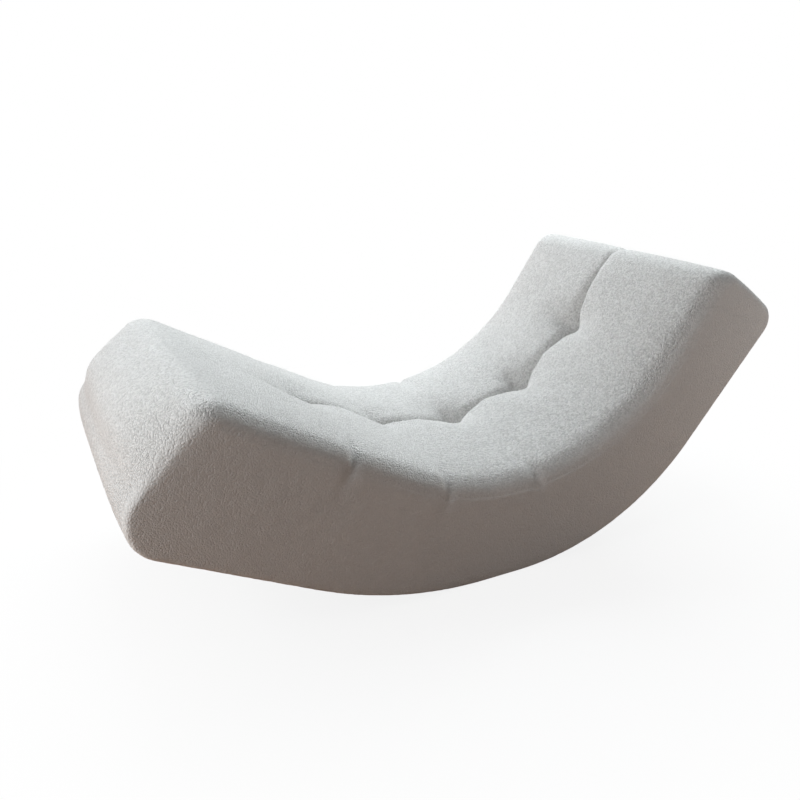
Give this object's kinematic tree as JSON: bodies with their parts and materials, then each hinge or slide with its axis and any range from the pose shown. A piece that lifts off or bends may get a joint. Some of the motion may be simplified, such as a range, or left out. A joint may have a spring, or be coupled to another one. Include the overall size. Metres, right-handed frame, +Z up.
{
  "type": "rocking lounge chair",
  "caption": "Armless rocking lounge: a tufted off-white bouclé crescent over a plywood frame that rocks on its own curved base",
  "frame": {"origin": "centre of the flat strip of the base that the lounge rests on, on the floor, midway between the sides", "axes": "+X along the lounge to the head end, +Z up from the floor, +Y to the right hand of the person lying in it"},
  "size_m": [1.5336, 0.7, 0.6423],
  "materials": {
    "boucle": "off-white looped bouclé",
    "base_cloth": "dark woven non-slip cloth",
    "felt": "grey needled felt",
    "foam": "open-cell upholstery foam",
    "plywood": "raw birch plywood",
    "timber": "planed softwood",
    "screw_steel": "zinc-plated steel",
    "staple_steel": "galvanised steel wire",
    "twine": "waxed twine",
    "toggle": "turned beech"
  },
  "bodies": {
    "root": {"top_cover": "boucle", "side_cover_left": "boucle", "side_cover_right": "boucle", "base_cloth": "base_cloth", "base_felt": "felt", "seat_foam": "foam", "foot_end_pad": "foam", "head_end_pad": "foam", "side_pad_left": "foam", "side_pad_right": "foam", "seat_deck": "plywood", "base_skin": "plywood", "side_frame_left": "plywood", "side_frame_right": "plywood", "inner_rib_left": "plywood", "inner_rib_right": "plywood", "foot_board": "plywood", "head_board": "plywood", "head_rail": "timber", "shoulder_rail": "timber", "lumbar_rail": "timber", "seat_rail": "timber", "thigh_rail": "timber", "calf_rail": "timber", "base_rail_foot": "timber", "base_rail_middle": "timber", "base_rail_head": "timber", "corner_blocks": "timber", "rail_screws": "screw_steel", "base_staples": "staple_steel", "tuft_ties": "twine", "tuft_toggles": "toggle"}
  },
  "joints": []
}
